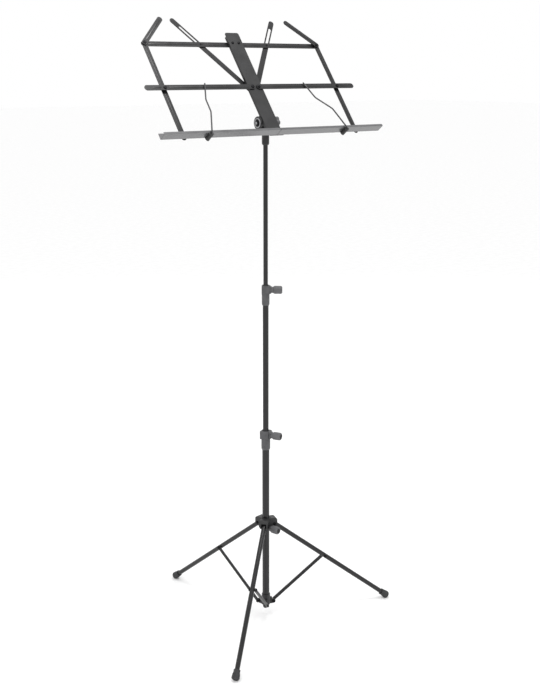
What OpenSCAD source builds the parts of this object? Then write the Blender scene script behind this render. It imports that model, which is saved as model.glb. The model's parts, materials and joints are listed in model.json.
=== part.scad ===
// Folding music stand: tripod base, telescoping mast and folding desk.
// Millimetres, +Z up. The floor is z = 0 and the origin is the middle of the footprint.
// At rest the stand is open and the desk faces -Y.

/* [Mast] */
// Outside diameter of the lower tube
lower_d = 14; // [12:0.5:20]
// Wall of the lower tube
lower_wall = 1.2; // [0.8:0.1:1.6]
// Length of the lower tube
lower_len = 350; // [300:1:420]
// Outside diameter of the middle tube
middle_d = 11.2; // [9.6:0.1:11.2]
// Wall of the middle tube
middle_wall = 1.1; // [0.8:0.1:1.2]
// Length of the middle tube
middle_len = 348; // [310:1:420]
// Middle tube showing above the lower clamp
middle_out = 248; // [120:1:270]
// Diameter of the top tube
rod_d = 8.6; // [7:0.1:8.8]
// Wall of the top tube
rod_wall = 1; // [0.8:0.1:1.2]
// Length of the top tube
rod_len = 352; // [320:1:420]
// Top tube showing above the upper clamp
rod_out = 261; // [120:1:280]

/* [Clamps and knobs] */
// Wall of the clamp sleeves
sleeve_wall = 1.7; // [1.4:0.1:2.4]
// Height of the square clamp heads
head_h = 16; // [14:0.5:20]
// Overlap of the clamp heads with the outer tube
head_low = 2; // [1:0.5:4]
// Length of the sleeve below each clamp head
sleeve_len = 24; // [16:1:30]
// Diameter of the thumbscrew studs
stud_d = 5; // [4:0.5:6]
// Largest diameter of the clamp knobs
knob_d = 15.5; // [13:0.5:20]
// Length of the clamp knobs
knob_len = 20; // [16:0.5:26]
// Direction of the upper clamp knob, anticlockwise from +X
upper_knob_az = -40; // [-180:1:180]
// Direction of the lower clamp knob, anticlockwise from +X
lower_knob_az = -63; // [-180:1:180]

/* [Tripod] */
// Angle of the legs from vertical
leg_angle = 52.2; // [48:0.1:54]
// Pivot distance on a leg and on a strut
link_len = 138; // [125:1:150]
// Distance of the leg and strut pivots from the mast axis
pivot_r = 16; // [15.5:0.1:20]
// Height of the hub pivots above the floor
hub_pivot_z = 29; // [24:1:40]
// Diameter of the leg tubes
leg_d = 9.2; // [8:0.1:10]
// Wall of the leg tubes
leg_wall = 1; // [0.8:0.1:1.2]
// Diameter of the rubber feet
foot_d = 15.5; // [13:0.5:20]
// Length of the rubber feet
foot_len = 20; // [16:1:28]
// Depth of the flat on each foot
foot_flat = 1.2; // [0.8:0.1:2]
// Width of the strut strips
strut_w = 7; // [6:0.5:9]
// Thickness of the strut strips
strut_t = 2; // [1.5:0.1:3]
// Direction of the front leg, anticlockwise from +X
front_leg_az = -139.4; // [-145:0.1:-120]
// Diameter of the pins and knee bolts
pin_d = 3.6; // [3:0.1:4]

/* [Desk] */
// Lean of the desk back from vertical
desk_tilt = 37.3; // [20:0.1:50]
// Overall width of the ledge
ledge_w = 495; // [460:1:520]
// Half distance between the side bars
side_u = 196; // [180:1:205]
// Width of the centre bar
centre_w = 31; // [29:0.5:36]
// Thickness of the desk sheet metal
bar_t = 1.5; // [1.2:0.1:1.6]
// Width of the arms, braces, side bars and flaps
bar_w = 10.5; // [9:0.1:11]
// Half distance between the left and right pivots
pivot_u = 7; // [6.5:0.1:8]
// Height of the desk above the tilt pivot
desk_top = 191; // [185:1:200]
// Height of the top arm pivots above the tilt pivot
top_w = 168; // [160:0.5:175]
// Height of the middle arm pivots above the tilt pivot
mid_w = 68.5; // [60:0.5:75]
// Depth of the ledge pivots below the tilt pivot
ledge_drop = 31; // [30:0.5:36]
// Distance of the tilt pivot behind the centre bar
tilt_back = 13; // [12:0.5:16]
// Length of the middle arms past the side bars
mid_over = 36; // [20:1:45]
// Distance of the slot pin along the top arm
slot_pin_p = 68.6; // [60:0.1:75]
// Length of the braces from pivot to tip
brace_len = 192; // [180:1:195]
// Width of the brace slots
slot_w = 5.4; // [5.3:0.1:5.6]
// Length of the corner flaps from pivot to tip
flap_len = 78; // [60:1:85]
// Lean of the corner flaps towards the middle
flap_lean = 45; // [0:1:60]

/* [Ledge and page holders] */
// Height of the ledge's rear flange
flange_h = 12; // [10:0.5:13]
// Depth of the ledge's shelf
shelf_d = 16.3; // [12:0.1:20]
// Height of the ledge's front lip
lip_h = 4.5; // [3:0.1:6]
// Distance of each page holder from the middle
wire_u = 154; // [120:1:165]
// Diameter of the page-holder wire
wire_d = 2.2; // [1.8:0.1:2.6]
// Lean of the page holders towards the middle
wire_lean = 20; // [0:1:30]
// Length of the page holders above their pivot
wire_len = 122; // [100:1:132]

/* [Fits] */
// Radial clearance of pins, rivets and sliding tubes
fit = 0.08; // [0.05:0.01:0.1]
// Clearance between the flat faces of moving pieces
gap = 0.5; // [0.4:0.05:0.6]

/* [Hidden] */
$fn = 48;
eps = 0.1;
thin_gap = 0.1;
// The mast stands behind the middle of the footprint by this much.
mast_y = -44;
leg_az = [front_leg_az, front_leg_az + 120, front_leg_az + 240];
collar_knob_az = front_leg_az + 60;
collar_knob_z = -7;

// Tripod pivots: equal links on one radius, so the fold keeps one ratio all the way.
knee_r = pivot_r + link_len * sin(leg_angle);
knee_z = hub_pivot_z + link_len * cos(leg_angle);
collar_pivot_z = hub_pivot_z + 2 * link_len * cos(leg_angle);
// A leg runs down from its collar pivot until the rim of its rubber foot is cut by the floor.
foot_wall = 3;
foot_chamfer = 2;
foot_rest = (foot_d / 2 - foot_chamfer) * sin(leg_angle) - foot_flat;
leg_run = (collar_pivot_z - foot_rest) / cos(leg_angle);
leg_tube_len = leg_run - foot_wall;
leg_end_over = 3.5;

// Heights up the mast
hub_wall = 1.5;
hub_low = hub_pivot_z - 5;
tube_bottom_z = hub_low + 3;
hub_h = 24;
lower_top_z = tube_bottom_z + lower_len;
lower_clamp_top = lower_top_z + head_h - head_low;
middle_top_z = lower_clamp_top + middle_out + sleeve_len;
middle_bottom_z = middle_top_z - middle_len;
upper_clamp_top = middle_top_z + head_h - head_low;
socket_z = upper_clamp_top + rod_out;
socket_bore_h = 16;
rod_top_z = socket_z + socket_bore_h;
rod_bottom_z = rod_top_z - rod_len;
tilt_z = socket_z + 40;

// Sizes that follow the tubes
lower_bore = lower_d / 2 - lower_wall;
middle_bore = middle_d / 2 - middle_wall;
rod_bore = rod_d / 2 - rod_wall;
collar_r = lower_d / 2 + 2.3;
fork_in = leg_d + 0.6;
fork_wall = 3;
// A strut lies flat against the side of its leg and of its hub lug, clear of both by the gap.
strut_in = leg_d / 2 + gap;
strut_out = strut_in + strut_t;
lug_r = 4.6;
lug_t = 4.4;
lobe_r = 5.5;
lobe_h = 18.5;

// Layers of the desk, measured towards the reader from the back of the centre bar
centre_t = 1.2;
flange_back = 4;
top_n = -flange_back - gap - 0.1 - bar_t;
brace_n = top_n - gap - bar_t;
side_n = top_n + bar_t + gap;
flap_n = side_n + bar_t + gap;
mid_n = centre_t + gap;
ledge_t = 1.2;
shelf_n = mid_n + shelf_d;
rivet_r = 1.5;
head_r = 3.2;
head_t = 0.9;

arm_len = side_u - pivot_u;
brace_angle = atan(slot_pin_p / (top_w - mid_w));
slot_low = norm([slot_pin_p, top_w - mid_w]) - 1.2;
slot_high = norm([slot_pin_p * cos(80), top_w - mid_w + slot_pin_p * sin(80)]) + 1.2;
slot_pin_r = 1;
ledge_w0 = -ledge_drop;
flange_low = -flange_h / 2;
clip_h = 7;
clip_w = 8;
wire_q = flange_low - clip_h / 2;
tab_t = 1;
wire_out_n = shelf_n + tab_t + gap + wire_d / 2;
wire_in_n = mid_n + bar_t + head_t + wire_d / 2 + 0.4;

black = [0.16, 0.16, 0.17];
dark = [0.22, 0.22, 0.23];
plastic = [0.1, 0.1, 0.11];
rubber = [0.07, 0.07, 0.07];
steel = [0.62, 0.62, 0.64];
nylon = [0.8, 0.8, 0.78];

// ---- Frames and common shapes ----

// Moves a piece built on the mast's axis to the mast.
module at_mast(z = 0) translate([0, mast_y, z]) children();

// Turns a piece drawn in the X-Z plane, X outwards, to a leg's direction.
module at_leg(i) at_mast() rotate([0, 0, leg_az[i]]) children();

// The desk's own frame: X to the right, Z up the desk, -Y towards the reader, origin at the tilt pivot.
module at_desk() at_mast(tilt_z) rotate([-desk_tilt, 0, 0]) translate([0, -tilt_back, 0]) children();

// A sheet drawn as u across and w up the desk, with its back face at layer n.
module layer(n, t) translate([0, -n, 0]) rotate([90, 0, 0]) linear_extrude(t) children();

// Right pieces are drawn once, and left ones are their mirror image.
module on_side(s) if (s > 0) children(); else mirror([1, 0, 0]) children();

module pipe(r, wall, h) difference() {
  cylinder(h = h, r = r);
  translate([0, 0, -1]) cylinder(h = h + 2, r = r - wall);
}

module slot_shape(len, w) {
  translate([0, -w / 2]) square([len, w]);
  circle(d = w);
  translate([len, 0]) circle(d = w);
}

// A shouldered rivet along the desk's normal: each step is [from, to, radius].
module stepped_rivet(steps) for (s = steps)
  translate([0, -s[0], 0]) rotate([90, 0, 0]) cylinder(h = s[1] - s[0], r = s[2]);

// A pin across a leg's plane, from one tangential distance to another, with a head at each end.
module cross_pin(from, to, r, head) rotate([90, 0, 0]) {
  translate([0, 0, -to - eps]) cylinder(h = to - from + 2 * eps, r = r);
  translate([0, 0, -from]) cylinder(h = 1.6, r = head);
  translate([0, 0, -to - 1.6]) cylinder(h = 1.6, r = head);
}

// ---- Tripod ----

module lower_tube() color(black) at_mast(tube_bottom_z) pipe(lower_d / 2, lower_wall, lower_len);

// A cup under the lower tube, with one lug for each strut.
module bottom_hub() color(dark) at_mast() difference() {
  union() {
    translate([0, 0, hub_low + 2]) cylinder(h = hub_h - 2, r = lower_d / 2 + hub_wall);
    translate([0, 0, hub_low]) cylinder(h = 2 + eps, r1 = lower_d / 2 - 1, r2 = lower_d / 2 + hub_wall);
    for (a = leg_az) rotate([0, 0, a]) translate([0, strut_in - gap - lug_t, hub_pivot_z]) {
      translate([pivot_r, lug_t, 0]) rotate([90, 0, 0]) cylinder(h = lug_t, r = lug_r);
      translate([0, 0, -lug_r]) cube([pivot_r, lug_t, 2 * lug_r]);
      translate([0, 0, lug_r - eps]) cube([pivot_r - 3, lug_t, 5]);
    }
  }
  translate([0, 0, tube_bottom_z]) cylinder(h = hub_h, r = lower_d / 2);
  for (a = leg_az) rotate([0, 0, a])
    translate([pivot_r, 12, hub_pivot_z]) rotate([90, 0, 0]) cylinder(h = 24, r = pin_d / 2);
}

module hub_pins() color(steel) for (i = [0:2]) at_leg(i) translate([pivot_r, 0, hub_pivot_z])
  cross_pin(strut_in - gap - lug_t, strut_out + thin_gap, pin_d / 2, 3);

// A flat strip with round ends, from its hub pin to its knee bolt.
module strut(i) color(dark) at_leg(i) translate([pivot_r, strut_out, hub_pivot_z])
  rotate([90, 0, 0]) linear_extrude(strut_t) rotate(90 - leg_angle) difference() {
    slot_shape(link_len, strut_w);
    for (x = [0, link_len]) translate([x, 0]) circle(r = pin_d / 2 + fit);
  }

// A leg, from its collar pivot down along its own axis.
module along_leg(i) at_leg(i) translate([pivot_r, 0, collar_pivot_z])
  rotate([0, 180 - leg_angle, 0]) children();

module leg(i) color(black) along_leg(i) difference() {
  translate([0, 0, -leg_end_over]) pipe(leg_d / 2, leg_wall, leg_tube_len + leg_end_over);
  translate([0, leg_d, 0]) rotate([90, 0, 0]) cylinder(h = 2 * leg_d, r = pin_d / 2 + fit);
  translate([0, leg_d, link_len]) rotate([90, 0, 0]) cylinder(h = 2 * leg_d, r = pin_d / 2);
}

// The foot is a cup over the tube's end, cut flat where it stands.
module foot(i) color(rubber) difference() {
  along_leg(i) difference() {
    union() {
      translate([0, 0, leg_run - foot_len])
        cylinder(h = foot_len - 7, r1 = leg_d / 2 + 1.8, r2 = foot_d / 2);
      translate([0, 0, leg_run - 7 - eps]) cylinder(h = 4 + eps, r = foot_d / 2);
      translate([0, 0, leg_run - 3 - eps])
        cylinder(h = 3 + eps, r1 = foot_d / 2, r2 = foot_d / 2 - foot_chamfer);
    }
    translate([0, 0, leg_run - foot_len - 1]) cylinder(h = foot_len - foot_wall + 1, r = leg_d / 2);
  }
  at_mast(-40) cylinder(h = 40, r = 600);
}

module knee_bolt(i) color(steel) at_leg(i) translate([knee_r, 0, knee_z])
  cross_pin(-leg_d / 2, strut_out + thin_gap, pin_d / 2, 3.2);

// Side view of one of the collar's lobes, X outwards from the mast and Y up from the pivot.
module lobe_outline() {
  translate([0, -lobe_r]) square([pivot_r, lobe_h]);
  translate([pivot_r, 0]) rotate(90) slot_shape(lobe_h - 2 * lobe_r, 2 * lobe_r);
}

// The sliding collar: a sleeve with three forked lobes that hold the leg ends.
module leg_collar() color(plastic) at_mast(collar_pivot_z) difference() {
  union() {
    translate([0, 0, -13]) cylinder(h = 27, r = collar_r);
    for (a = leg_az) rotate([0, 0, a]) translate([0, fork_in / 2 + fork_wall, 0])
      rotate([90, 0, 0]) linear_extrude(fork_in + 2 * fork_wall) lobe_outline();
    rotate([0, 0, collar_knob_az]) translate([0, 0, collar_knob_z]) rotate([0, 90, 0])
      cylinder(h = collar_r + 4, r = 5.2);
  }
  translate([0, 0, -14]) cylinder(h = 30, r = lower_d / 2 + fit);
  for (a = leg_az) rotate([0, 0, a]) {
    translate([pivot_r - 6.2, -fork_in / 2, -8]) cube([20, fork_in, 14.4]);
    translate([pivot_r, 12, 0]) rotate([90, 0, 0]) cylinder(h = 24, r = pin_d / 2);
  }
  rotate([0, 0, collar_knob_az]) translate([0, 0, collar_knob_z]) rotate([0, 90, 0])
    cylinder(h = 30, r = stud_d / 2 + fit);
}

module collar_pins() color(steel) for (i = [0:2]) at_leg(i) translate([pivot_r, 0, collar_pivot_z])
  cross_pin(-fork_in / 2 - fork_wall, fork_in / 2 + fork_wall, pin_d / 2, 3);

// ---- Thumbscrews ----

// A stud along X from the radius it presses at, up into its knob.
module stud(from, seat) rotate([0, 90, 0]) translate([0, 0, from]) cylinder(h = seat + 10 - from, r = stud_d / 2);

// A moulded knob on a stud: neck, fluted grip and domed end, with its foot at the seat radius.
module knob(seat) rotate([0, 90, 0]) translate([0, 0, seat]) difference() {
  union() {
    cylinder(h = 4, r = knob_d / 2 - 2.2);
    translate([0, 0, 4 - eps]) cylinder(h = 3 + eps, r1 = knob_d / 2 - 2.2, r2 = knob_d / 2);
    translate([0, 0, 7 - eps]) cylinder(h = knob_len - 11 + 2 * eps, r = knob_d / 2);
    translate([0, 0, knob_len - 4]) cylinder(h = 2.5, r1 = knob_d / 2, r2 = knob_d / 2 - 1.2);
    translate([0, 0, knob_len - 1.5 - eps]) cylinder(h = 1.5 + eps, r1 = knob_d / 2 - 1.2, r2 = knob_d / 2 - 3.6);
  }
  for (a = [0:45:315]) rotate([0, 0, a]) translate([knob_d / 2 + 1, 0, 6]) cylinder(h = knob_len, r = 1.9);
  translate([0, 0, -1]) cylinder(h = 11, r = stud_d / 2);
}

collar_seat = collar_r + 4 + thin_gap;
module collar_stud() color(steel) at_mast(collar_pivot_z + collar_knob_z) rotate([0, 0, collar_knob_az])
  stud(lower_d / 2 + thin_gap, collar_seat);
module collar_knob() color(plastic) at_mast(collar_pivot_z + collar_knob_z) rotate([0, 0, collar_knob_az])
  knob(collar_seat);

// A clamp collar: a tapered sleeve on the outer tube, a square head round the inner one, and an arm.
module clamp(outer_r, inner_r) {
  side = outer_r + sleeve_wall;
  head_top = head_h - head_low;
  difference() {
    union() {
      translate([0, 0, -sleeve_len]) cylinder(h = 2.5, r1 = outer_r + 0.7, r2 = side);
      translate([0, 0, -sleeve_len + 2.5 - eps]) cylinder(h = sleeve_len - 2.5 + 2 * eps, r = side);
      translate([-side, -side, -head_low]) cube([2 * side, 2 * side, head_h]);
      translate([0, clamp_arm / 2, 0]) rotate([90, 0, 0]) linear_extrude(clamp_arm)
        polygon([[0, -head_low], [side, -head_low], [side + 4, clamp_stud_z - 5.5],
          [side + 4, clamp_stud_z + 5.5], [side, head_top], [0, head_top]]);
    }
    translate([0, 0, -sleeve_len - 1]) cylinder(h = sleeve_len + 1, r = outer_r);
    translate([0, 0, -1]) cylinder(h = head_h, r = inner_r + fit);
    translate([0, 0, clamp_stud_z]) rotate([0, 90, 0]) cylinder(h = 40, r = stud_d / 2 + fit);
  }
}

clamp_arm = 11;
clamp_stud_z = 5.8;
lower_seat = lower_d / 2 + sleeve_wall + 4 + thin_gap;
upper_seat = middle_d / 2 + sleeve_wall + 4 + thin_gap;

module lower_clamp() color(dark) at_mast(lower_top_z) rotate([0, 0, lower_knob_az])
  clamp(lower_d / 2, middle_d / 2);
module lower_clamp_stud() color(steel) at_mast(lower_top_z + clamp_stud_z) rotate([0, 0, lower_knob_az])
  stud(middle_d / 2 + thin_gap, lower_seat);
module lower_clamp_knob() color(plastic) at_mast(lower_top_z + clamp_stud_z) rotate([0, 0, lower_knob_az])
  knob(lower_seat);

module upper_clamp() color(dark) at_mast(middle_top_z) rotate([0, 0, upper_knob_az])
  clamp(middle_d / 2, rod_d / 2);
module upper_clamp_stud() color(steel) at_mast(middle_top_z + clamp_stud_z) rotate([0, 0, upper_knob_az])
  stud(rod_d / 2 + thin_gap, upper_seat);
module upper_clamp_knob() color(plastic) at_mast(middle_top_z + clamp_stud_z) rotate([0, 0, upper_knob_az])
  knob(upper_seat);

// ---- Telescoping tubes ----

// A bush on the end of an inner tube that guides it in the outer one.
module guide_bush(inner_r, outer_r) {
  translate([0, 0, -4]) cylinder(h = 4, r = outer_r);
  translate([0, 0, -eps]) cylinder(h = 10, r = inner_r);
}

module middle_tube() color(black) at_mast(middle_bottom_z) pipe(middle_d / 2, middle_wall, middle_len);
module middle_bush() color(nylon) at_mast(middle_bottom_z) difference() {
  guide_bush(middle_bore, lower_bore - fit);
  translate([0, 0, -5]) cylinder(h = 20, r = middle_bore - 1.2);
}

module top_rod() color(black) at_mast(rod_bottom_z) pipe(rod_d / 2, rod_wall, rod_len);
module rod_bush() color(nylon) at_mast(rod_bottom_z) guide_bush(rod_bore, middle_bore - fit);

// ---- Desk head ----

tongue_half = centre_w / 2 - centre_t - 1;

// A socket over the rod, with a tongue that carries the tilt bolt between the centre bar's cheeks.
module desk_socket() color(dark) at_mast() difference() {
  union() {
    translate([0, 0, socket_z]) cylinder(h = 2.5, r1 = rod_d / 2 + 1.2, r2 = rod_d / 2 + 2.5);
    translate([0, 0, socket_z + 2.5 - eps]) cylinder(h = 25.5, r = rod_d / 2 + 2.5);
    translate([-tongue_half, -5, tilt_z - 14]) cube([2 * tongue_half, 10, 14]);
    translate([-tongue_half, 0, tilt_z]) rotate([0, 90, 0]) cylinder(h = 2 * tongue_half, r = 8);
  }
  translate([0, 0, socket_z - 1]) cylinder(h = socket_bore_h + 1 + thin_gap, r = rod_d / 2 + fit);
  translate([-30, 0, tilt_z]) rotate([0, 90, 0]) cylinder(h = 60, r = 3 + fit);
}

cheek = centre_w / 2;
disc_t = 3;

module across_tilt(u) at_mast(tilt_z) rotate([-desk_tilt, 0, 0]) translate([u, 0, 0])
  rotate([0, 90, 0]) children();

module tilt_bolt() color(steel) {
  across_tilt(-cheek - disc_t - 2.2) cylinder(h = 2 * cheek + disc_t + 2.2 + 12, r = 3);
  across_tilt(-cheek - disc_t - 1.2) cylinder(h = 1.2, r = 6);
  across_tilt(-cheek - disc_t - 2.6) cylinder(h = 1.4 + eps, r1 = 3.6, r2 = 6);
}
module tilt_disc() color(plastic) across_tilt(-cheek - disc_t) difference() {
  union() {
    cylinder(h = disc_t, r = 10.4);
    translate([0, 0, 0.6]) cylinder(h = disc_t - 0.6, r = 11.8);
  }
  translate([0, 0, -1]) cylinder(h = disc_t + 2, r = 3);
  translate([0, 0, -1]) difference() {
    cylinder(h = 1.8, r = 9.2);
    translate([0, 0, -1]) cylinder(h = 4, r = 6.6);
  }
}
module tilt_knob() color(plastic) across_tilt(cheek + thin_gap) difference() {
  union() {
    cylinder(h = 3, r = 6.5);
    translate([0, 0, 2.9]) linear_extrude(8) difference() {
      circle(r = 11.8);
      for (a = [0:60:300]) rotate(a + 30) translate([13.4, 0]) circle(r = 4.2);
    }
    translate([0, 0, 10.8]) cylinder(h = 2, r1 = 7.5, r2 = 6);
  }
  translate([0, 0, -1]) cylinder(h = 13, r = 3 + fit);
}

// ---- Folding desk ----

rivet_holes = [[pivot_u, top_w], [pivot_u, mid_w], [pivot_u, ledge_w0]];

centre_low = ledge_w0 - 6;
centre_round = 4;

// The centre bar's face, with rounded upper corners.
module centre_outline() {
  translate([-centre_w / 2, centre_low]) square([centre_w, desk_top - centre_low - centre_round]);
  translate([-centre_w / 2 + centre_round, centre_low])
    square([centre_w - 2 * centre_round, desk_top - centre_low]);
  for (x = [-1, 1]) translate([x * (centre_w / 2 - centre_round), desk_top - centre_round])
    circle(r = centre_round);
}

// The centre bar: a face with turned-back edges, and cheeks at its foot for the tilt bolt.
module centre_bar() color(dark) at_desk() difference() {
  union() {
    layer(0, centre_t) difference() {
      centre_outline();
      for (h = rivet_holes) for (x = [-1, 1]) translate([x * h[0], h[1]]) circle(r = rivet_r);
    }
    for (x = [-1, 1]) {
      translate([x * (centre_w / 2 - centre_t / 2) - centre_t / 2, 0, ledge_w0 + 9])
        cube([centre_t, flange_back, desk_top - ledge_w0 - 17]);
      translate([x * (centre_w / 2 - centre_t / 2) - centre_t / 2, -eps, -9]) cube([centre_t, tilt_back + eps, 18]);
      translate([x * (centre_w / 2 - centre_t / 2) - centre_t / 2, tilt_back, 0])
        rotate([0, 90, 0]) cylinder(h = centre_t, r = 9);
    }
  }
  translate([-30, tilt_back, 0]) rotate([0, 90, 0]) cylinder(h = 60, r = 3);
}

module centre_rivets() color(steel) at_desk() for (x = [-pivot_u, pivot_u]) {
  translate([x, 0, top_w]) stepped_rivet([
    [top_n - thin_gap - head_t, top_n - thin_gap, 2.5], [top_n - thin_gap, 0, rivet_r],
    [top_n + bar_t + thin_gap, 0, head_r], [0, centre_t, rivet_r], [centre_t, centre_t + head_t, 2.5]]);
  translate([x, 0, mid_w]) stepped_rivet([
    [brace_n - thin_gap - head_t, brace_n - thin_gap, head_r], [brace_n - thin_gap, 0, rivet_r],
    [brace_n + bar_t + thin_gap, 0, head_r], [0, mid_n + bar_t + thin_gap, rivet_r],
    [centre_t, mid_n - thin_gap, head_r], [mid_n + bar_t + thin_gap, mid_n + bar_t + head_t, head_r]]);
  translate([x, 0, ledge_w0]) stepped_rivet([
    [-head_t, 0, head_r], [0, mid_n + ledge_t + thin_gap, rivet_r], [centre_t, mid_n - thin_gap, head_r],
    [mid_n + ledge_t + thin_gap, mid_n + ledge_t + head_t, head_r]]);
}

// A flat arm outwards from its centre pivot, with running holes at the listed distances.
module arm(n, w, len, holes) color(black) at_desk() translate([pivot_u, 0, w]) layer(n, bar_t) difference() {
  slot_shape(len, bar_w);
  for (p = holes) translate([p, 0]) circle(r = rivet_r + fit);
}

module top_arm(s) on_side(s) difference() {
  arm(top_n, top_w, arm_len, [0, arm_len]);
  color(black) at_desk() translate([pivot_u + slot_pin_p, -top_n + 1, top_w]) rotate([90, 0, 0])
    cylinder(h = bar_t + 2, r = slot_pin_r);
}
module middle_arm(s) on_side(s) arm(mid_n, mid_w, arm_len + mid_over, [0, arm_len]);

module slot_pin(s) color(steel) on_side(s) at_desk() translate([pivot_u + slot_pin_p, 0, top_w]) stepped_rivet([
  [brace_n - thin_gap - head_t, brace_n - thin_gap, 4.4], [brace_n - thin_gap, top_n + bar_t, slot_pin_r],
  [top_n + bar_t, top_n + bar_t + 0.4, 2]]);

module brace(s) color(black) on_side(s) at_desk() translate([pivot_u, 0, mid_w])
  layer(brace_n, bar_t) rotate(90 - brace_angle) difference() {
    slot_shape(brace_len - bar_w / 2, bar_w);
    circle(r = rivet_r + fit);
    translate([slot_low, 0]) slot_shape(slot_high - slot_low, slot_w);
  }

module side_bar(s) color(black) on_side(s) at_desk() layer(side_n, bar_t) difference() {
  translate([side_u, ledge_w0]) rotate(90) slot_shape(top_w - ledge_w0, bar_w);
  for (w = [top_w, mid_w, ledge_w0]) translate([side_u, w]) circle(r = rivet_r);
}

module side_rivets(s) color(steel) on_side(s) at_desk() translate([side_u, 0, 0]) {
  translate([0, 0, top_w]) stepped_rivet([
    [top_n - thin_gap - head_t, top_n - thin_gap, head_r],
    [top_n - thin_gap, flap_n + bar_t + thin_gap, rivet_r],
    [flap_n + bar_t + thin_gap, flap_n + bar_t + head_t, head_r]]);
  translate([0, 0, mid_w]) stepped_rivet([
    [side_n - head_t, side_n, head_r], [side_n, mid_n + bar_t + thin_gap, rivet_r],
    [side_n + bar_t, mid_n - thin_gap, head_r],
    [mid_n + bar_t + thin_gap, mid_n + bar_t + head_t, head_r]]);
  translate([0, 0, ledge_w0]) stepped_rivet([
    [side_n - head_t, side_n, head_r], [side_n, mid_n + ledge_t + thin_gap, rivet_r],
    [side_n + bar_t, mid_n - thin_gap, head_r],
    [mid_n + ledge_t + thin_gap, mid_n + ledge_t + head_t, head_r]]);
}

module flap(s) color(black) on_side(s) at_desk() translate([side_u, 0, top_w])
  layer(flap_n, bar_t) rotate(90 + flap_lean) difference() {
    slot_shape(flap_len - bar_w / 2, bar_w);
    circle(r = rivet_r + fit);
  }

// Half of the ledge: rear flange, shelf and front lip, from one folded sheet.
module ledge(s) color(dark) on_side(s) at_desk() translate([0, 0, ledge_w0]) {
  inner = 0.4;
  out = ledge_w / 2;
  difference() {
    layer(mid_n, ledge_t) union() {
      translate([pivot_u, flange_low]) square([out - pivot_u, flange_h]);
      intersection() {
        translate([pivot_u, 0]) circle(r = pivot_u - inner);
        translate([inner, flange_low]) square([out, flange_h]);
      }
    }
    for (u = [pivot_u, side_u]) translate([u, 0, 0]) rotate([90, 0, 0]) cylinder(h = 30, r = rivet_r + fit);
  }
  translate([inner, -shelf_n, flange_low]) cube([out - inner, shelf_d, ledge_t]);
  translate([inner, -shelf_n, flange_low]) cube([out - inner, ledge_t, lip_h]);
}

// A barrel under the shelf that the page holder turns in, with a diamond tab over its front.
module wire_clip(s) color(dark) on_side(s) at_desk() translate([wire_u, 0, ledge_w0 + wire_q]) difference() {
  union() {
    translate([-clip_w / 2, -shelf_n + 0.6, 0]) cube([clip_w, shelf_d - 1.2, clip_h / 2]);
    translate([0, -mid_n - 0.6, 0]) rotate([90, 0, 0]) cylinder(h = shelf_d - 1.2, r = clip_h / 2);
    layer(shelf_n - 0.6 - eps, 0.6 + eps) circle(r = clip_h / 2);
    layer(shelf_n, tab_t) rotate(45) square(clip_h, center = true);
  }
  rotate([90, 0, 0]) cylinder(h = shelf_n + 5, r = wire_d / 2 + fit);
}

// A page holder: a pivot under the shelf, then a wire that cranks back to press on the page.
wire_bends = [
  [0, mid_n - 1], [0, wire_out_n], [wire_len * 0.38, wire_out_n + 1],
  [wire_len * 0.7, wire_in_n + 0.4], [wire_len, wire_in_n]
];
module page_wire(s) color(steel) on_side(s) at_desk() translate([wire_u, 0, ledge_w0 + wire_q])
  rotate([0, -wire_lean, 0]) for (i = [0:len(wire_bends) - 2]) {
    a = wire_bends[i];
    b = wire_bends[i + 1];
    d = b - a;
    translate([0, -a[1], a[0]]) rotate([atan2(d[1], d[0]), 0, 0]) cylinder(h = norm(d), r = wire_d / 2);
    translate([0, -b[1], b[0]]) sphere(r = wire_d / 2 + 0.1);
  }

// ---- Nodes ----

lower_tube();
bottom_hub();
hub_pins();
lower_clamp();
lower_clamp_stud();
lower_clamp_knob();
strut(0);  // strut_front
strut(1);  // strut_right
strut(2);  // strut_left
leg(0);  // leg_front
leg(1);  // leg_right
leg(2);  // leg_left
foot(0);  // foot_front
foot(1);  // foot_right
foot(2);  // foot_left
knee_bolt(0);  // knee_bolt_front
knee_bolt(1);  // knee_bolt_right
knee_bolt(2);  // knee_bolt_left
leg_collar();
collar_pins();
collar_stud();
collar_knob();
middle_tube();
middle_bush();
upper_clamp();
upper_clamp_stud();
upper_clamp_knob();
top_rod();
rod_bush();
desk_socket();
tilt_bolt();
tilt_disc();
tilt_knob();
centre_bar();
centre_rivets();
top_arm(-1);  // top_arm_left
top_arm(1);  // top_arm_right
slot_pin(-1);  // slot_pin_left
slot_pin(1);  // slot_pin_right
middle_arm(-1);  // middle_arm_left
middle_arm(1);  // middle_arm_right
brace(-1);  // brace_left
brace(1);  // brace_right
side_bar(-1);  // side_bar_left
side_bar(1);  // side_bar_right
side_rivets(-1);  // side_rivets_left
side_rivets(1);  // side_rivets_right
flap(-1);  // flap_left
flap(1);  // flap_right
ledge(-1);  // ledge_left
ledge(1);  // ledge_right
wire_clip(-1);  // wire_clip_left
wire_clip(1);  // wire_clip_right
page_wire(-1);  // page_wire_left
page_wire(1);  // page_wire_right
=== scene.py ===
"""Folding music stand: finish, detail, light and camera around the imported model."""
import json
import math

import bmesh
import bpy
from mathutils import Matrix, Vector


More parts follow.
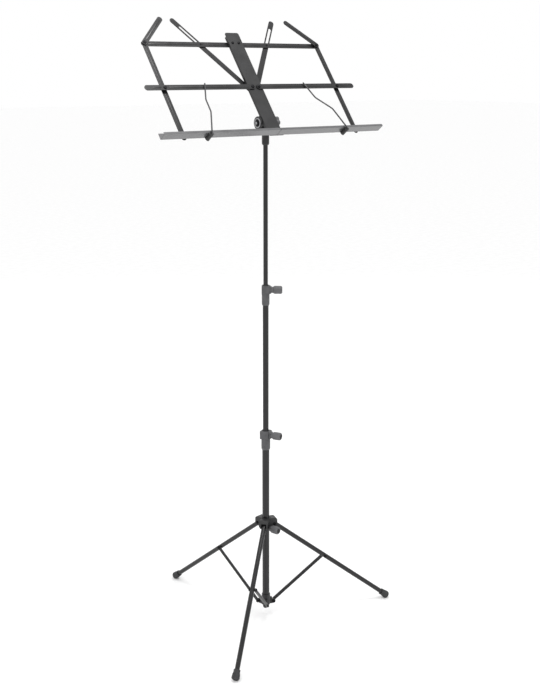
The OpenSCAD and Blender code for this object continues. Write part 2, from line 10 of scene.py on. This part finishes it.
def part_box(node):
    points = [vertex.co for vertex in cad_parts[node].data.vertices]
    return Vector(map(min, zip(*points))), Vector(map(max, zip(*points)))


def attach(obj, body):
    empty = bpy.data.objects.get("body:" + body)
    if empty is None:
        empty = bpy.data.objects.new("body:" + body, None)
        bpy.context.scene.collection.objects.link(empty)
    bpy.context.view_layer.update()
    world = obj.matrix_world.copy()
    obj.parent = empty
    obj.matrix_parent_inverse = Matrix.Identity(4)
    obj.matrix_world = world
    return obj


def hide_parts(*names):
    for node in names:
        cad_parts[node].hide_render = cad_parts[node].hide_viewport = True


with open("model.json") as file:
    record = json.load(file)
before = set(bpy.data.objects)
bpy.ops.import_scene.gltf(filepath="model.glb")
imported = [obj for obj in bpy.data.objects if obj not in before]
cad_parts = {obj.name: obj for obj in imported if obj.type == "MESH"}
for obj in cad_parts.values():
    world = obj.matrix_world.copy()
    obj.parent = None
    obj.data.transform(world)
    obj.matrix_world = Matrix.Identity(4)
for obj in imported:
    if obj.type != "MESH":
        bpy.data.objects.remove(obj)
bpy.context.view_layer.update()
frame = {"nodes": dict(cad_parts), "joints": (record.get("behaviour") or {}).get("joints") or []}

MM = 0.001
PEEL_MM = 1.6  # width of the orange peel in the powder coat
BORE_MM = 2.5  # radius of the hole through a thumbscrew's knob
STRIP_HALF_MM = 5.25  # half the width of the desk's strips
SIDES = {"left": -1, "right": 1}
LEGS = ("front", "right", "left")
JOINTS = {joint["name"]: joint for joint in frame["joints"]}


def centre(node):
    """The middle of a CAD node's box."""
    low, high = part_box(node)
    return (low + high) / 2


def pivot(joint):
    """Where a joint turns, in metres."""
    return Vector(JOINTS[joint]["pos_m"])


MAST = centre("lower_tube")


# ---- Camera and light ----

def look_from(distance, height, azimuth, yaw, pitch, lens):
    """A level camera at an azimuth round the mast, turned by yaw to the right and pitch down."""
    spot = Vector((math.cos(azimuth) * distance, MAST.y + math.sin(azimuth) * distance, height))
    camera_data = bpy.data.cameras.new("camera")
    camera_data.lens = lens
    camera_data.sensor_width = 36
    camera = bpy.data.objects.new("camera", camera_data)
    bpy.context.scene.collection.objects.link(camera)
    towards = azimuth + math.pi - yaw
    turn = Matrix.Rotation(towards - math.pi / 2, 4, "Z") @ Matrix.Rotation(math.pi / 2 - pitch, 4, "X")
    camera.matrix_world = Matrix.Translation(spot) @ turn
    bpy.context.scene.camera = camera


look_from(distance=2.136, height=1.071, azimuth=math.radians(-127.39),
          yaw=math.radians(0.22), pitch=math.radians(13.66), lens=59.2)


def srgb(code):
    """An sRGB hex colour as the linear colour that the shaders take."""
    parts = [int(code[i:i + 2], 16) / 255 for i in (0, 2, 4)]
    return [p / 12.92 if p <= 0.04045 else ((p + 0.055) / 1.055) ** 2.4 for p in parts] + [1]


def add_node(tree, kind, settings=(), inputs=(), links=()):
    """Adds one node: settings are attributes, inputs are socket values, links are sockets to join."""
    made = tree.nodes.new(kind)
    for name, value in dict(settings).items():
        setattr(made, name, value)
    for name, value in dict(inputs).items():
        made.inputs[name].default_value = value
    for name, source in dict(links).items():
        tree.links.new(source, made.inputs[name])
    return made


def lamp(name, place, target, size, power):
    """A soft round lamp at a place, turned to its target."""
    data = bpy.data.lights.new(name, "AREA")
    data.shape = "DISK"
    data.size = size
    data.energy = power
    light = bpy.data.objects.new(name, data)
    bpy.context.scene.collection.objects.link(light)
    place, target = Vector(place), Vector(target)
    aim = (target - place).to_track_quat("-Z", "Y").to_matrix().to_4x4()
    light.matrix_world = Matrix.Translation(place) @ aim


def studio():
    """White surroundings, three soft lamps and a pale floor."""
    world = bpy.data.worlds.new("studio")
    world.use_nodes = True
    world.node_tree.nodes["Background"].inputs["Color"].default_value = srgb("ffffff")
    world.node_tree.nodes["Background"].inputs["Strength"].default_value = 1.0
    bpy.context.scene.world = world
    bpy.context.scene.view_settings.view_transform = "Standard"
    middle = (0, 0, 0.7)
    desk = centre("centre_bar")
    lamp("key", (-2.6, -1.6, 2.8), middle, 1.6, 14)
    lamp("rim", (1.6, 2.4, 2.2), middle, 1.6, 10)
    lamp("desk_light", desk + Vector((0.12, -0.35, 1.1)), desk, 0.4, 8)
    bm = bmesh.new()
    bmesh.ops.create_grid(bm, x_segments=1, y_segments=1, size=30)
    floor = add_piece("floor", bm, pale_floor())


# ---- Materials ----

def surface(name, colour, **shader):
    """A new material with its Principled shader set; returns material, tree and shader."""
    material = bpy.data.materials.new(name)
    material.use_nodes = True
    tree = material.node_tree
    principled = tree.nodes["Principled BSDF"]
    principled.inputs["Base Color"].default_value = srgb(colour)
    for socket, value in shader.items():
        principled.inputs[socket.replace("_", " ").title().replace("Ior", "IOR")].default_value = value
    return material, tree, principled


def object_space(tree, stretch=(1, 1, 1)):
    """Object coordinates, with a pattern's stretch along each axis."""
    coordinates = add_node(tree, "ShaderNodeTexCoord")
    return add_node(tree, "ShaderNodeMapping", inputs={"Scale": stretch},
                    links={"Vector": coordinates.outputs["Object"]}).outputs["Vector"]


def pattern(tree, vector, size_mm, detail=3.0):
    """Noise whose features are about size_mm across."""
    return add_node(tree, "ShaderNodeTexNoise", inputs={"Scale": 1 / (size_mm * MM), "Detail": detail},
                    links={"Vector": vector}).outputs["Fac"]


def between(tree, value, low, high, start=0.3, end=0.7):
    """Maps a pattern's start..end to low..high."""
    return add_node(tree, "ShaderNodeMapRange",
                    inputs={"From Min": start, "From Max": end, "To Min": low, "To Max": high},
                    links={"Value": value}).outputs["Result"]


def tint(tree, value, first, second, start=0.35, end=0.65):
    """Colours a pattern from first to second between start and end."""
    ramp = add_node(tree, "ShaderNodeValToRGB", links={"Fac": value})
    ramp.color_ramp.elements[0].position = start
    ramp.color_ramp.elements[0].color = srgb(first)
    ramp.color_ramp.elements[1].position = end
    ramp.color_ramp.elements[1].color = srgb(second)
    return ramp.outputs["Color"]


def relief(tree, principled, height, depth_mm):
    """Raises a pattern by up to depth_mm in the shading."""
    bump = add_node(tree, "ShaderNodeBump", inputs={"Distance": depth_mm * MM, "Strength": 1.0},
                    links={"Height": height})
    tree.links.new(bump.outputs["Normal"], principled.inputs["Normal"])


def pale_floor():
    """Seamless white paper: nearly white, with no gloss."""
    material, tree, principled = surface("studio_paper", "ffffff", roughness=0.95)
    vector = object_space(tree)
    tree.links.new(tint(tree, pattern(tree, vector, 40), "fbfbfb", "ffffff"), principled.inputs["Base Color"])
    return material


def powder_coat(name, dark, light, roughness, coat=0.0):
    """Black polyester powder coat: orange-peel relief, a soft gloss and slight changes of tone."""
    material, tree, principled = surface(name, dark, roughness=roughness, ior=1.46,
                                         coat_weight=coat, coat_roughness=0.25)
    vector = object_space(tree)
    cloud = pattern(tree, vector, 22)
    peel = pattern(tree, vector, PEEL_MM, 2.0)
    tree.links.new(tint(tree, cloud, dark, light), principled.inputs["Base Color"])
    tree.links.new(between(tree, cloud, roughness - 0.06, roughness + 0.08), principled.inputs["Roughness"])
    relief(tree, principled, peel, 0.02)
    return material


def moulded_nylon(name, dark, light):
    """Injection-moulded glass-filled nylon: dull, with a fine spark-eroded texture."""
    material, tree, principled = surface(name, dark, roughness=0.55, ior=1.53)
    vector = object_space(tree)
    grain = pattern(tree, vector, 0.6, 2.0)
    flow = pattern(tree, vector, 9)
    tree.links.new(tint(tree, flow, dark, light), principled.inputs["Base Color"])
    tree.links.new(between(tree, grain, 0.45, 0.68), principled.inputs["Roughness"])
    relief(tree, principled, grain, 0.03)
    return material


def black_rubber():
    """Moulded rubber: matt, faintly grey with dust on its high spots."""
    material, tree, principled = surface("moulded_rubber", "2b2b2c", roughness=0.82, ior=1.52)
    vector = object_space(tree)
    dust = pattern(tree, vector, 5)
    tree.links.new(tint(tree, dust, "262627", "3c3c3e"), principled.inputs["Base Color"])
    tree.links.new(between(tree, dust, 0.72, 0.92), principled.inputs["Roughness"])
    relief(tree, principled, pattern(tree, vector, 0.8), 0.04)
    return material


def zinc_plate(name, dark, light, roughness=0.34):
    """Zinc-plated steel: bright, with fine cloudy spangle and drawing marks."""
    material, tree, principled = surface(name, light, metallic=1.0, roughness=roughness)
    vector = object_space(tree)
    cloud = pattern(tree, vector, 3)
    tree.links.new(tint(tree, cloud, dark, light), principled.inputs["Base Color"])
    tree.links.new(between(tree, cloud, roughness - 0.08, roughness + 0.12), principled.inputs["Roughness"])
    relief(tree, principled, pattern(tree, vector, 0.5), 0.01)
    return material


def natural_nylon():
    """Turned natural nylon: milky, slightly waxy."""
    material, tree, principled = surface("natural_nylon", "d9d8d0", roughness=0.42, ior=1.53,
                                         subsurface_weight=0.1)
    vector = object_space(tree, (1, 1, 4))
    rings = pattern(tree, vector, 2)
    tree.links.new(tint(tree, rings, "d2d1c8", "e2e1da"), principled.inputs["Base Color"])
    return material


# ---- Building new pieces ----

def add_piece(name, bm, material, smooth=35):
    """Turns a bmesh into an object with its place in its mesh, shaded smooth below an edge angle."""
    bmesh.ops.recalc_face_normals(bm, faces=bm.faces[:])
    for face in bm.faces:
        face.smooth = True
    for edge in bm.edges:
        edge.smooth = len(edge.link_faces) == 2 and edge.calc_face_angle(0) < math.radians(smooth)
    mesh = bpy.data.meshes.new(name)
    bm.to_mesh(mesh)
    bm.free()
    mesh.materials.append(material)
    piece = bpy.data.objects.new(name, mesh)
    bpy.context.scene.collection.objects.link(piece)
    return piece


def soften(node, width_mm):
    """Rounds a CAD node's sharp edges: welds its triangles, bevels, and shades the flat faces flat."""
    piece = frame["nodes"][node]
    weld = piece.modifiers.new("weld", "WELD")
    weld.merge_threshold = 0.00001
    bevel = piece.modifiers.new("soft edges", "BEVEL")
    bevel.width = width_mm * MM
    bevel.segments = 2
    bevel.limit_method = "ANGLE"
    bevel.angle_limit = math.radians(34)
    for face in piece.data.polygons:
        face.use_smooth = True
    flats = piece.modifiers.new("flat faces", "WEIGHTED_NORMAL")
    flats.weight = 90


def finish_node(node, material):
    """Gives a CAD node its one finish."""
    piece = frame["nodes"][node]
    piece.data.materials.clear()
    piece.data.materials.append(material)


def axes_at(place, x, y, z):
    """A frame at a place with its own X, Y and Z directions."""
    turn = Matrix((x, y, z)).transposed().to_4x4()
    return Matrix.Translation(place) @ turn


def frame_along(place, direction):
    """A frame at a place whose Z runs along a direction."""
    return Matrix.Translation(place) @ Vector(direction).to_track_quat("Z", "Y").to_matrix().to_4x4()


def extent(node, local):
    """Lowest and highest corner of a CAD node in a local frame."""
    inverse = local.inverted()
    points = [inverse @ vertex.co for vertex in frame["nodes"][node].data.vertices]
    low = Vector([min(point[i] for point in points) for i in range(3)])
    high = Vector([max(point[i] for point in points) for i in range(3)])
    return low, high


def turned(profile, steps=48):
    """A bmesh spun about Z from a profile of (radius, height) in millimetres; ends on the axis are closed."""
    bm = bmesh.new()
    points = [bm.verts.new((radius * MM, 0, height * MM)) for radius, height in profile]
    edges = [bm.edges.new(pair) for pair in zip(points, points[1:])]
    bmesh.ops.spin(bm, geom=points + edges, axis=(0, 0, 1), cent=(0, 0, 0),
                   angle=2 * math.pi, steps=steps, use_merge=True)
    bmesh.ops.remove_doubles(bm, verts=bm.verts[:], dist=0.000002)
    return bm


def arc(centre_r, centre_z, radius, start, end, steps=5):
    """Profile points on an arc, with angles in degrees from the +radius direction towards +height."""
    angles = [math.radians(start + (end - start) * i / steps) for i in range(steps + 1)]
    return [(centre_r + radius * math.cos(a), centre_z + radius * math.sin(a)) for a in angles]


def put(name, bm, local, material, body, smooth=35, replaces=()):
    """Moves a bmesh built at the origin to its frame, makes its piece and rides it on its body."""
    bmesh.ops.transform(bm, matrix=local, verts=bm.verts[:])
    piece = add_piece(name, bm, material, smooth)
    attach(piece, body)
    if replaces:
        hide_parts(*replaces)
    return piece


# ---- Finishes ----

TUBE = powder_coat("black_powder_coat_tube", "121213", "19191a", 0.2)
SHEET = powder_coat("black_powder_coat_sheet", "1a1a1b", "242425", 0.4)
# Ledge: the same black powder coat under a clear coat, but its grey base colour is painted sheen, standing in
# for the light its face catches.
LEDGE = powder_coat("ledge_powder_coat_painted_sheen", "4a4a4c", "545456", 0.34, coat=1.0)
STRIP = powder_coat("black_powder_coat_strip", "101011", "18181a", 0.34)
NYLON = moulded_nylon("black_glass_filled_nylon", "1b1b1c", "252526")
CLAMP = moulded_nylon("grey_glass_filled_nylon", "454547", "525254")
GRIP = moulded_nylon("dark_grey_nylon", "505052", "5c5c5e")
RUBBER = black_rubber()
ZINC = zinc_plate("zinc_plated_steel", "8b8b8e", "b4b4b6")
DARK_STEEL = zinc_plate("blackened_steel", "1c1c1d", "2c2c2e", 0.4)
BUSH = natural_nylon()
WIRE = powder_coat("black_lacquered_wire", "2a2a2b", "38383a", 0.3)

STRIPS = [part + "_" + side for side in SIDES
          for part in ("top_arm", "middle_arm", "brace", "side_bar", "flap")]

FINISHES = {
    TUBE: ["lower_tube", "middle_tube", "top_rod"] + ["leg_" + leg for leg in LEGS],
    SHEET: ["bottom_hub", "desk_socket", "centre_bar"] + ["strut_" + leg for leg in LEGS]
    + ["wire_clip_" + side for side in SIDES],
    CLAMP: ["lower_clamp", "upper_clamp"],
    LEDGE: ["ledge_" + side for side in SIDES],
    STRIP: STRIPS,
    NYLON: ["leg_collar", "tilt_disc"],
    GRIP: ["collar_knob", "lower_clamp_knob", "upper_clamp_knob", "tilt_knob"],
    RUBBER: ["foot_" + leg for leg in LEGS],
    ZINC: ["collar_stud", "lower_clamp_stud", "upper_clamp_stud"],
    WIRE: ["page_wire_" + side for side in SIDES],
    DARK_STEEL: ["centre_rivets", "hub_pins", "collar_pins", "tilt_bolt"]
    + ["knee_bolt_" + leg for leg in LEGS]
    + [part + "_" + side for side in SIDES for part in ("slot_pin", "side_rivets")],
    BUSH: ["middle_bush", "rod_bush"],
}
for material, nodes in FINISHES.items():
    for node in nodes:
        finish_node(node, material)

# ---- Knobs ----

def grip_knob(name, joint, body, replaced):
    """A thumbscrew's knob: a neck, a fluted barrel with a rounded rim, and a sunk end face."""
    spin = JOINTS[joint]
    local = frame_along(pivot(joint), spin["axis"])
    low, high = extent(replaced, local)
    foot, tip, radius = low.z / MM, high.z / MM, high.x / MM
    neck = radius - 2.2
    profile = [(BORE_MM, foot), (neck, foot)] + arc(neck - 0.1, foot + 2.9, 1.0, 0, 60, 3)
    profile += arc(radius - 1.6, foot + 5.4, 1.6, -60, 0) + arc(radius - 3, tip - 3, 3, 0, 78, 6)
    profile += [(radius - 3.2, tip - 0.3), (radius - 3.4, tip - 1.4), (1.2, tip - 1.4)]
    profile += [(0.9, tip - 1.1), (0, tip - 1.1)]
    bm = turned(profile, 96)
    flutes = 12
    for vertex in bm.verts:
        reach = math.hypot(vertex.co.x, vertex.co.y)
        along = (vertex.co.z / MM - foot - 4) / (tip - foot - 6)
        if reach > (radius - 2) * MM and 0 < along < 1:
            wave = math.cos(flutes * math.atan2(vertex.co.y, vertex.co.x))
            depth = 0.45 * MM * max(0, -wave) * min(1, 6 * along, 6 * (1 - along))
            vertex.co.xy *= 1 - depth / reach
    piece = put(name, bm, local, GRIP, body, 50, [replaced])
    piece.data.materials.append(NYLON)
    inverse = local.inverted()
    for polygon in piece.data.polygons:
        spot = inverse @ polygon.center
        if spot.z / MM > tip - 1.6 and math.hypot(spot.x, spot.y) / MM < radius - 2.9:
            polygon.material_index = 1


grip_knob("upper_grip", "upper_knob_turn", "upper_thumbscrew", "upper_clamp_knob")
grip_knob("lower_grip", "lower_knob_turn", "lower_thumbscrew", "lower_clamp_knob")
grip_knob("collar_grip", "collar_knob_turn", "collar_thumbscrew", "collar_knob")


def lobed_knob():
    """The tilt knob: six rounded lobes over a hub, with a shallow dish in its face."""
    local = frame_along(pivot("tilt_knob_turn"), JOINTS["tilt_knob_turn"]["axis"])
    low, high = extent("tilt_knob", local)
    foot, tip, radius = low.z / MM, high.z / MM, high.x / MM
    profile = [(3.1, foot), (6.5, foot), (6.5, foot + 2.2)] + arc(radius - 1.5, foot + 4.4, 1.5, -80, 0)
    profile += arc(radius - 1.8, tip - 4, 1.8, 0, 80) + [(8, tip - 1.8), (7.2, tip - 0.4)]
    profile += [(6.4, tip), (5, tip), (4.4, tip - 0.8), (0, tip - 0.8)]
    bm = turned(profile, 96)
    for vertex in bm.verts:
        reach = math.hypot(vertex.co.x, vertex.co.y)
        if reach > 6.9 * MM:
            wave = 0.5 + 0.5 * math.cos(6 * math.atan2(vertex.co.y, vertex.co.x))
            share = min(1, (reach / MM - 6.9) / 2.5)
            vertex.co.xy *= 1 - 2.1 * MM * share * (1 - wave) ** 1.6 / reach
    put("tilt_grip", bm, local, GRIP, "tilt_knob", 50, ["tilt_knob"])


lobed_knob()

# ---- Feet ----

LEG_PIVOTS = {"front": "collar_turn", "right": "leg_turn_right", "left": "leg_turn_left"}
KNEE = pivot("leg_turn_front")
COLLAR_END = pivot("collar_turn")
LEG_SLOPE = (KNEE - COLLAR_END).normalized()


def leg_direction(leg):
    """The direction down a leg, from its collar joint to its foot."""
    outward = pivot(LEG_PIVOTS[leg]) - MAST
    outward.z = 0
    outward.normalize()
    level = math.hypot(LEG_SLOPE.x, LEG_SLOPE.y)
    return Vector((outward.x * level, outward.y * level, LEG_SLOPE.z))


def rubber_foot(leg):
    """A moulded foot: a mouth bead, two grip rings, a flared body and a rounded toe cut flat on the floor."""
    node = "foot_" + leg
    local = frame_along(pivot(LEG_PIVOTS[leg]), leg_direction(leg))
    low, high = extent(node, local)
    top, toe, radius = low.z / MM, high.z / MM, max(high.x, high.y) / MM
    mouth = radius - 1.35
    profile = [(radius - 3.1, top + 1)] + arc(mouth - 0.9, top + 0.9, 0.9, 180, 0, 6)
    profile += [(mouth - 0.55, top + 2.2), (mouth - 0.1, top + 3.2), (mouth - 0.4, top + 4.4)]
    profile += [(mouth + 0.2, top + 6.4), (mouth + 0.9, top + 10)]
    profile += arc(radius - 4.6, toe - 5.4, 4.6, 18, 84, 7) + [(0, toe - 0.7)]
    bm = turned(profile)
    bmesh.ops.transform(bm, matrix=local, verts=bm.verts[:])
    cut = bmesh.ops.bisect_plane(bm, geom=bm.verts[:] + bm.edges[:] + bm.faces[:], dist=0.000001,
                                 plane_co=(0, 0, 0), plane_no=(0, 0, 1), clear_inner=True)
    rim = [item for item in cut["geom_cut"] if isinstance(item, bmesh.types.BMEdge)]
    if rim:
        bmesh.ops.holes_fill(bm, edges=rim)
    put("rubber_" + leg, bm, Matrix.Identity(4), RUBBER, "leg_" + leg, 40, [node])


for leg in LEGS:
    rubber_foot(leg)

# ---- Desk ----

TILT = JOINTS["desk_tilt"]
READER = Vector(JOINTS["desk_fold_right"]["axis"])
DESK = axes_at(pivot("desk_tilt"), Vector((1, 0, 0)), -READER, READER.cross(Vector((1, 0, 0))))


def on_desk(point):
    """A row-frame point as u across, depth away from the reader and w up the desk."""
    return DESK.inverted() @ point


def rivet_dome(name, u, w, face, radius, height, body, towards_reader=True):
    """A rolled rivet head: a low dome with a small dimple at its middle."""
    profile = [(radius * 0.98, 0), (radius * 0.98, height * 0.3), (radius * 0.86, height * 0.75)]
    profile += [(radius * 0.6, height), (radius * 0.34, height)]
    profile += [(radius * 0.24, height * 0.55), (0, height * 0.5)]
    direction = READER if towards_reader else -READER
    place = DESK @ Vector((u, face, w))
    put(name, turned(profile, 32), frame_along(place, direction), DARK_STEEL, body, 40)


def bead(name, start, end, face, width_mm, body):
    """A pressed stiffening bead along a strip: a low rounded rib with round ends on its front face."""
    height = 0.36 * MM
    along = Vector((end[0] - start[0], 0, end[1] - start[1]))
    length = along.length
    bm = bmesh.new()
    bmesh.ops.create_circle(bm, cap_ends=True, segments=24, radius=width_mm * MM / 2)
    for vertex in bm.verts:
        vertex.co.x += length / 2 if vertex.co.x > 0 else -length / 2
    risen = bmesh.ops.extrude_face_region(bm, geom=bm.faces[:])
    lifted = [item for item in risen["geom"] if isinstance(item, bmesh.types.BMVert)]
    bmesh.ops.translate(bm, verts=lifted, vec=(0, 0, height))
    top = [edge for edge in bm.edges if all(v.co.z > height / 2 for v in edge.verts)]
    bmesh.ops.bevel(bm, geom=top, offset=height * 0.85, offset_type="OFFSET", affect="EDGES",
                    segments=3, profile=0.5, material=-1)
    middle = Vector(((start[0] + end[0]) / 2, face, (start[1] + end[1]) / 2))
    direction = (DESK.to_3x3() @ along).normalized()
    local = axes_at(DESK @ middle, direction, READER.cross(direction), READER)
    put(name, bm, local, STRIP, body, 40)


def strip_beads(side):
    """The beads on one side's strips, each stopping clear of the rivets."""
    sign = SIDES[side]
    clear = 9.5 * MM
    width_mm = 3.4
    inner = on_desk(pivot("desk_fold_" + side))
    outer = on_desk(pivot("side_bar_turn_" + side))
    middle = on_desk(pivot("middle_arm_fold_" + side))
    ledge = on_desk(pivot("ledge_fold_" + side))
    pin = (extent("slot_pin_" + side, DESK)[0] + extent("slot_pin_" + side, DESK)[1]) / 2
    face = {part: extent(part + "_" + side, DESK)[0].y
            for part in ("top_arm", "middle_arm", "side_bar", "flap")}
    spans = {
        "top_arm": [(inner.x, pin.x), (pin.x, outer.x)],
        "middle_arm": [(middle.x, outer.x), (outer.x, sign * (abs(outer.x) + 34 * MM))],
    }
    heights = {"top_arm": inner.z, "middle_arm": middle.z}
    for part, runs in spans.items():
        for i, (start, end) in enumerate(runs):
            points = (start + sign * clear, heights[part]), (end - sign * clear, heights[part])
            bead("%s_%s_bead_%d" % (part, side, i), *points, face[part], width_mm, part + "_" + side)
    for i, (start, end) in enumerate([(outer.z, middle.z), (middle.z, ledge.z)]):
        points = (outer.x, start - clear), (outer.x, end + clear)
        bead("side_bar_%s_bead_%d" % (side, i), *points, face["side_bar"], width_mm, "side_bar_" + side)
    low, high = extent("flap_" + side, DESK)
    tip_u = low.x if sign > 0 else high.x
    half = STRIP_HALF_MM * MM
    lean = Vector((tip_u + sign * half - outer.x, 0, high.z - half - outer.z))
    reach = lean.normalized()
    start = Vector((outer.x, 0, outer.z)) + reach * clear
    end = Vector((outer.x, 0, outer.z)) + lean - reach * 3 * MM
    bead("flap_%s_bead" % side, (start.x, start.z), (end.x, end.z), face["flap"], width_mm, "flap_" + side)


def desk_domes():
    """Rivet heads on the centre bar, the side bars and behind the slot pins."""
    front = extent("centre_rivets", DESK)[0].y
    bar_face = extent("centre_bar", DESK)[0].y
    for side in SIDES:
        arm = on_desk(pivot("desk_fold_" + side))
        middle = on_desk(pivot("middle_arm_fold_" + side))
        ledge = on_desk(pivot("ledge_fold_" + side))
        outer = on_desk(pivot("side_bar_turn_" + side))
        bar = "side_bar_" + side
        rivet_front = extent("side_rivets_" + side, DESK)[0].y
        rivet_dome("rivet_top_" + side, arm.x, arm.z, bar_face - 0.9 * MM, 2.5, 0.7, "desk")
        rivet_dome("rivet_middle_" + side, middle.x, middle.z, front, 3.2, 0.7, "desk")
        rivet_dome("rivet_ledge_" + side, ledge.x, ledge.z, front + 0.3 * MM, 3.2, 0.7, "desk")
        rivet_dome("rivet_side_top_" + side, outer.x, outer.z, rivet_front + 3.8 * MM, 3.2, 0.4, bar)
        rivet_dome("rivet_side_middle_" + side, outer.x, middle.z, rivet_front, 3.2, 0.4, bar)
        rivet_dome("rivet_side_low_" + side, outer.x, ledge.z, rivet_front + 0.3 * MM, 3.2, 0.4, bar)
        back = extent("slot_pin_" + side, DESK)
        pin = (back[0] + back[1]) / 2
        rivet_dome("pin_head_" + side, pin.x, pin.z, back[1].y, 4.4, 0.7, "top_arm_" + side, False)


for side in SIDES:
    strip_beads(side)
desk_domes()

# ---- Page holders ----

def rounded_route(points, reach, steps=6):
    """The points with each corner turned into a short curve that starts reach away from it."""
    route = [points[0]]
    for before, corner, after in zip(points, points[1:], points[2:]):
        start = corner + (before - corner).normalized() * reach
        end = corner + (after - corner).normalized() * reach
        for i in range(steps + 1):
            t = i / steps
            route.append(start * (1 - t) ** 2 + corner * 2 * t * (1 - t) + end * t ** 2)
    return route + [points[-1]]


def page_wire(side):
    """Spring wire: a pivot under the ledge, then a stem that cranks back to press on the page."""
    node = "page_wire_" + side
    foot = on_desk(pivot("page_wire_turn_" + side))
    low, high = extent(node, DESK)
    wire_r = 1.35 * MM
    ball = 1.2 * MM
    tip_u = low.x + ball if SIDES[side] > 0 else high.x - ball
    lean = Vector((tip_u - foot.x, 0, high.z - ball - foot.z))
    front, back = low.y + ball, high.y
    page = extent("middle_arm_" + side, DESK)[0].y - 2.4 * MM
    # Share of the stem and depth at each bend, from the pivot's inner end to the tip.
    bends = [(0, back), (0, front + 1 * MM), (0.38, front), (0.7, page - 0.4 * MM), (1, page)]
    corners = [DESK @ Vector((foot.x + lean.x * t, depth, foot.z + lean.z * t)) for t, depth in bends]
    route = rounded_route(corners, 3.2 * MM)
    tip = (route[-1] - route[-2]).normalized()
    route += [route[-1] + tip * step * MM for step in (0.3, 0.5, 0.6)]
    data = bpy.data.curves.new("page_holder_" + side, "CURVE")
    data.dimensions = "3D"
    data.bevel_depth = wire_r
    data.bevel_resolution = 5
    data.use_fill_caps = True
    spline = data.splines.new("POLY")
    spline.points.add(len(route) - 1)
    for point, place in zip(spline.points, route):
        point.co = (*place, 1)
    for point, share in zip(spline.points[-3:], (0.9, 0.6, 0.2)):
        point.radius = share
    piece = bpy.data.objects.new("page_holder_" + side, data)
    bpy.context.scene.collection.objects.link(piece)
    data.materials.append(WIRE)
    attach(piece, node)
    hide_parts(node)
    nut = turned([(wire_r / MM - 0.1, 0)] + arc(2.1, 0.4, 0.4, -90, 90, 6) + [(wire_r / MM - 0.1, 0.8)], 32)
    put("push_nut_" + side, nut, frame_along(corners[0] + READER * 0.6 * MM, READER), ZINC, node)


for side in SIDES:
    page_wire(side)

# ---- Joint heads and clamp inserts ----

def dome(name, place, direction, radius, height, material, body):
    """A plain low dome on a face."""
    profile = [(radius, 0), (radius, height * 0.3), (radius * 0.85, height * 0.72),
               (radius * 0.5, height), (0, height * 1.05)]
    put(name, turned(profile, 32), frame_along(place, direction), material, body, 40)


def leg_heads(leg):
    """Rolled heads on both ends of a leg's three joints."""
    outward = pivot(LEG_PIVOTS[leg]) - MAST
    outward.z = 0
    outward.normalize()
    tangent = Vector((-outward.y, outward.x, 0))
    spots = {"hub_pins": ("mast", pivot("leg_fold" if leg == "front" else "strut_fold_" + leg)),
             "knee_bolt_" + leg: ("leg_" + leg, None), "collar_pins": ("leg_collar", pivot(LEG_PIVOTS[leg]))}
    for node, (body, place) in spots.items():
        local = axes_at(Vector((MAST.x, MAST.y, 0)), outward, tangent, Vector((0, 0, 1)))
        inverse = local.inverted()
        points = [inverse @ vertex.co for vertex in frame["nodes"][node].data.vertices]
        if place is None:
            level = sum((point for point in points), Vector()) / len(points)
        else:
            level = inverse @ place
        near = [point.y for point in points
                if abs(point.x - level.x) < 3.3 * MM and abs(point.z - level.z) < 3.3 * MM]
        for label, depth, direction in (("a", max(near), tangent), ("b", min(near), -tangent)):
            spot = local @ Vector((level.x, depth, level.z))
            dome("%s_head_%s_%s" % (node.replace("_" + leg, ""), leg, label), spot, direction, 2.8, 0.8,
                 DARK_STEEL, body)


for leg in LEGS:
    leg_heads(leg)


def clamp_insert(name, clamp, inner_tube, body):
    """A nylon ring standing out of the clamp's top, round the inner tube."""
    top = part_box(clamp)[1].z
    tube_low, tube_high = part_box(inner_tube)
    inner = (tube_high.x - tube_low.x) / 2 / MM + 0.15
    profile = [(inner, -1), (inner, 1.1), (inner + 0.3, 1.4), (inner + 1.1, 1.4)]
    profile += [(inner + 1.5, 1), (inner + 1.5, -1), (inner, -1)]
    local = Matrix.Translation((MAST.x, MAST.y, top))
    put(name, turned(profile), local, NYLON, body)


def tilt_trim():
    """A bright ring pressed into the tilt disc's groove, and a bright point on the bolt's head."""
    out = Vector((-1, 0, 0))
    face = DESK @ Vector((extent("tilt_disc", DESK)[0].x, 0, 0))
    tip = DESK @ Vector((extent("tilt_bolt", DESK)[0].x, 0, 0))
    profile = [(6.8, -0.6), (6.8, 0), (7.1, 0.35), (8.7, 0.35), (9, 0), (9, -0.6), (6.8, -0.6)]
    put("tilt_ring", turned(profile, 64), frame_along(face, out), ZINC, "desk")
    dome("tilt_bolt_point", tip, out, 2.4, 0.5, ZINC, "desk")


tilt_trim()
clamp_insert("lower_insert", "lower_clamp", "middle_tube", "mast")
clamp_insert("upper_insert", "upper_clamp", "top_rod", "middle_mast")

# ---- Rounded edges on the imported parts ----

SOFT = {
    0.5: ["lower_clamp", "upper_clamp", "leg_collar", "desk_socket", "bottom_hub"],
    0.25: ["centre_bar", "tilt_disc", "wire_clip_left", "wire_clip_right", "tilt_bolt"]
    + ["strut_" + leg for leg in LEGS] + ["ledge_" + side for side in SIDES]
    + STRIPS,
}
for width_mm, nodes in SOFT.items():
    for node in nodes:
        soften(node, width_mm)

studio()
